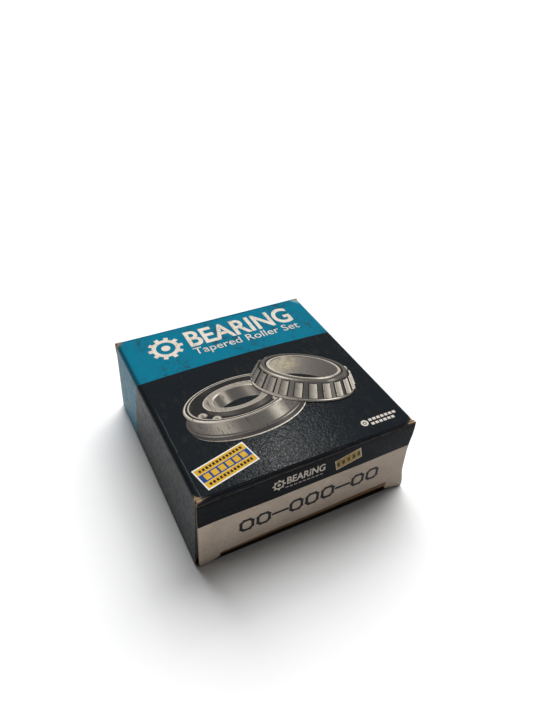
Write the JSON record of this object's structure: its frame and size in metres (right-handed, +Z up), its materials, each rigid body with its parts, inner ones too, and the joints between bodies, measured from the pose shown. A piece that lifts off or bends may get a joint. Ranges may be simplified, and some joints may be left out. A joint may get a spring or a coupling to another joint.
{
  "type": "boxed tapered roller bearing",
  "caption": "Tapered roller bearing in a straight-tuck folding carton: the end panels open, the bearing slides out, and its cone, cage and rollers turn.",
  "frame": {"origin": "middle of the carton's underside, on the bearing's axis", "axes": "+Z up out of the carton's printed top and along the bearing's axis towards the cone's thrust rib; +Y from the front end to the rear end; +X to the right seen from the front end"},
  "size_m": [0.086, 0.09, 0.035],
  "materials": {
    "printed_board": "semi-gloss printed coated boxboard, teal and charcoal",
    "raw_board": "uncoated grey-brown inner side of the boxboard",
    "ring_steel": "ground hardened bearing steel with a film of oil",
    "roller_steel": "superfinished hardened bearing steel",
    "cage_steel": "pressed sheet steel, dull phosphated"
  },
  "bodies": {
    "carton_sleeve": {"top_panel": "printed_board", "bottom_panel": "printed_board", "left_side_panel": "printed_board", "right_side_panel": "printed_board", "glue_flap": "raw_board"},
    "front_end": {"front_end_panel": "printed_board"},
    "front_tuck": {"front_tuck_flap": "raw_board"},
    "front_left_dust": {"front_left_dust_flap": "raw_board"},
    "front_right_dust": {"front_right_dust_flap": "raw_board"},
    "rear_end": {"rear_end_panel": "printed_board"},
    "rear_tuck": {"rear_tuck_flap": "raw_board"},
    "rear_left_dust": {"rear_left_dust_flap": "raw_board"},
    "rear_right_dust": {"rear_right_dust_flap": "raw_board"},
    "bearing_cup": {"cup": "ring_steel"},
    "inner_ring": {"cone": "ring_steel"},
    "cage_ring": {"cage": "cage_steel"},
    "roller_body_01": {"roller_01": "roller_steel"},
    "roller_body_02": {"roller_02": "roller_steel"},
    "roller_body_03": {"roller_03": "roller_steel"},
    "roller_body_04": {"roller_04": "roller_steel"},
    "roller_body_05": {"roller_05": "roller_steel"},
    "roller_body_06": {"roller_06": "roller_steel"},
    "roller_body_07": {"roller_07": "roller_steel"},
    "roller_body_08": {"roller_08": "roller_steel"},
    "roller_body_09": {"roller_09": "roller_steel"},
    "roller_body_10": {"roller_10": "roller_steel"},
    "roller_body_11": {"roller_11": "roller_steel"},
    "roller_body_12": {"roller_12": "roller_steel"},
    "roller_body_13": {"roller_13": "roller_steel"},
    "roller_body_14": {"roller_14": "roller_steel"},
    "roller_body_15": {"roller_15": "roller_steel"},
    "roller_body_16": {"roller_16": "roller_steel"},
    "roller_body_17": {"roller_17": "roller_steel"}
  },
  "joints": [
    {"name": "bearing_slide_out", "type": "slide", "parent": "carton_sleeve", "child": "bearing_cup", "axis": [0, -1, 0], "range_m": [0, 0.088]},
    {"name": "front_end_hinge", "type": "hinge", "parent": "carton_sleeve", "child": "front_end", "pos_m": [0, -0.045, 0.035], "axis": [-1, 0, 0], "range_deg": [0, 250]},
    {"name": "front_tuck_hinge", "type": "hinge", "parent": "front_end", "child": "front_tuck", "pos_m": [0, -0.045, 0.003], "axis": [-1, 0, 0], "range_deg": [0, 30]},
    {"name": "front_left_dust_hinge", "type": "hinge", "parent": "carton_sleeve", "child": "front_left_dust", "pos_m": [-0.043, -0.0444, 0.0175], "axis": [0, 0, -1], "range_deg": [0, 160]},
    {"name": "front_right_dust_hinge", "type": "hinge", "parent": "carton_sleeve", "child": "front_right_dust", "pos_m": [0.043, -0.0444, 0.0175], "axis": [0, 0, 1], "range_deg": [0, 160]},
    {"name": "rear_end_hinge", "type": "hinge", "parent": "carton_sleeve", "child": "rear_end", "pos_m": [0, 0.045, 0.035], "axis": [1, 0, 0], "range_deg": [0, 250]},
    {"name": "rear_tuck_hinge", "type": "hinge", "parent": "rear_end", "child": "rear_tuck", "pos_m": [0, 0.045, 0.003], "axis": [1, 0, 0], "range_deg": [0, 30]},
    {"name": "rear_left_dust_hinge", "type": "hinge", "parent": "carton_sleeve", "child": "rear_left_dust", "pos_m": [-0.043, 0.0444, 0.0175], "axis": [0, 0, 1], "range_deg": [0, 160]},
    {"name": "rear_right_dust_hinge", "type": "hinge", "parent": "carton_sleeve", "child": "rear_right_dust", "pos_m": [0.043, 0.0444, 0.0175], "axis": [0, 0, -1], "range_deg": [0, 160]},
    {"name": "cone_spin", "type": "hinge", "parent": "bearing_cup", "child": "inner_ring", "pos_m": [0, 0, 0.0174], "axis": [0, 0, 1], "continuous": true},
    {"name": "cage_spin", "type": "hinge", "parent": "bearing_cup", "child": "cage_ring", "pos_m": [0, 0, 0.0157], "axis": [0, 0, 1], "continuous": true},
    {"name": "roller_01_spin", "type": "hinge", "parent": "cage_ring", "child": "roller_body_01", "pos_m": [0, -0.03033, 0.01566], "axis": [0, -0.2104, 0.9776], "continuous": true},
    {"name": "roller_02_spin", "type": "hinge", "parent": "cage_ring", "child": "roller_body_02", "pos_m": [0.01096, -0.02828, 0.01566], "axis": [0.076, -0.1962, 0.9776], "continuous": true},
    {"name": "roller_03_spin", "type": "hinge", "parent": "cage_ring", "child": "roller_body_03", "pos_m": [0.02043, -0.02241, 0.01566], "axis": [0.1418, -0.1555, 0.9776], "continuous": true},
    {"name": "roller_04_spin", "type": "hinge", "parent": "cage_ring", "child": "roller_body_04", "pos_m": [0.02715, -0.01352, 0.01566], "axis": [0.1884, -0.0938, 0.9776], "continuous": true},
    {"name": "roller_05_spin", "type": "hinge", "parent": "cage_ring", "child": "roller_body_05", "pos_m": [0.0302, -0.0028, 0.01566], "axis": [0.2095, -0.0194, 0.9776], "continuous": true},
    {"name": "roller_06_spin", "type": "hinge", "parent": "cage_ring", "child": "roller_body_06", "pos_m": [0.02917, 0.0083, 0.01566], "axis": [0.2024, 0.0576, 0.9776], "continuous": true},
    {"name": "roller_07_spin", "type": "hinge", "parent": "cage_ring", "child": "roller_body_07", "pos_m": [0.0242, 0.01828, 0.01566], "axis": [0.1679, 0.1268, 0.9776], "continuous": true},
    {"name": "roller_08_spin", "type": "hinge", "parent": "cage_ring", "child": "roller_body_08", "pos_m": [0.01597, 0.02579, 0.01566], "axis": [0.1108, 0.1789, 0.9776], "continuous": true},
    {"name": "roller_09_spin", "type": "hinge", "parent": "cage_ring", "child": "roller_body_09", "pos_m": [0.00557, 0.02981, 0.01566], "axis": [0.0387, 0.2069, 0.9776], "continuous": true},
    {"name": "roller_10_spin", "type": "hinge", "parent": "cage_ring", "child": "roller_body_10", "pos_m": [-0.00557, 0.02981, 0.01566], "axis": [-0.0387, 0.2069, 0.9776], "continuous": true},
    {"name": "roller_11_spin", "type": "hinge", "parent": "cage_ring", "child": "roller_body_11", "pos_m": [-0.01597, 0.02579, 0.01566], "axis": [-0.1108, 0.1789, 0.9776], "continuous": true},
    {"name": "roller_12_spin", "type": "hinge", "parent": "cage_ring", "child": "roller_body_12", "pos_m": [-0.0242, 0.01828, 0.01566], "axis": [-0.1679, 0.1268, 0.9776], "continuous": true},
    {"name": "roller_13_spin", "type": "hinge", "parent": "cage_ring", "child": "roller_body_13", "pos_m": [-0.02917, 0.0083, 0.01566], "axis": [-0.2024, 0.0576, 0.9776], "continuous": true},
    {"name": "roller_14_spin", "type": "hinge", "parent": "cage_ring", "child": "roller_body_14", "pos_m": [-0.0302, -0.0028, 0.01566], "axis": [-0.2095, -0.0194, 0.9776], "continuous": true},
    {"name": "roller_15_spin", "type": "hinge", "parent": "cage_ring", "child": "roller_body_15", "pos_m": [-0.02715, -0.01352, 0.01566], "axis": [-0.1884, -0.0938, 0.9776], "continuous": true},
    {"name": "roller_16_spin", "type": "hinge", "parent": "cage_ring", "child": "roller_body_16", "pos_m": [-0.02043, -0.02241, 0.01566], "axis": [-0.1418, -0.1555, 0.9776], "continuous": true},
    {"name": "roller_17_spin", "type": "hinge", "parent": "cage_ring", "child": "roller_body_17", "pos_m": [-0.01096, -0.02828, 0.01566], "axis": [-0.076, -0.1962, 0.9776], "continuous": true}
  ],
  "couplings": [
    {"joint": "front_end_hinge", "follows": "bearing_slide_out", "rad_per_m": 49.58},
    {"joint": "front_tuck_hinge", "follows": "bearing_slide_out", "rad_per_m": 5.94},
    {"joint": "front_left_dust_hinge", "follows": "bearing_slide_out", "rad_per_m": 31.73},
    {"joint": "front_right_dust_hinge", "follows": "bearing_slide_out", "rad_per_m": 31.73},
    {"joint": "rear_tuck_hinge", "follows": "rear_end_hinge", "ratio": 0.12},
    {"joint": "rear_left_dust_hinge", "follows": "rear_end_hinge", "ratio": 0.64},
    {"joint": "rear_right_dust_hinge", "follows": "rear_end_hinge", "ratio": 0.64},
    {"joint": "cage_spin", "follows": "cone_spin", "ratio": 0.42341},
    {"joint": "roller_01_spin", "follows": "cone_spin", "ratio": -3.1175},
    {"joint": "roller_02_spin", "follows": "cone_spin", "ratio": -3.1175},
    {"joint": "roller_03_spin", "follows": "cone_spin", "ratio": -3.1175},
    {"joint": "roller_04_spin", "follows": "cone_spin", "ratio": -3.1175},
    {"joint": "roller_05_spin", "follows": "cone_spin", "ratio": -3.1175},
    {"joint": "roller_06_spin", "follows": "cone_spin", "ratio": -3.1175},
    {"joint": "roller_07_spin", "follows": "cone_spin", "ratio": -3.1175},
    {"joint": "roller_08_spin", "follows": "cone_spin", "ratio": -3.1175},
    {"joint": "roller_09_spin", "follows": "cone_spin", "ratio": -3.1175},
    {"joint": "roller_10_spin", "follows": "cone_spin", "ratio": -3.1175},
    {"joint": "roller_11_spin", "follows": "cone_spin", "ratio": -3.1175},
    {"joint": "roller_12_spin", "follows": "cone_spin", "ratio": -3.1175},
    {"joint": "roller_13_spin", "follows": "cone_spin", "ratio": -3.1175},
    {"joint": "roller_14_spin", "follows": "cone_spin", "ratio": -3.1175},
    {"joint": "roller_15_spin", "follows": "cone_spin", "ratio": -3.1175},
    {"joint": "roller_16_spin", "follows": "cone_spin", "ratio": -3.1175},
    {"joint": "roller_17_spin", "follows": "cone_spin", "ratio": -3.1175}
  ]
}
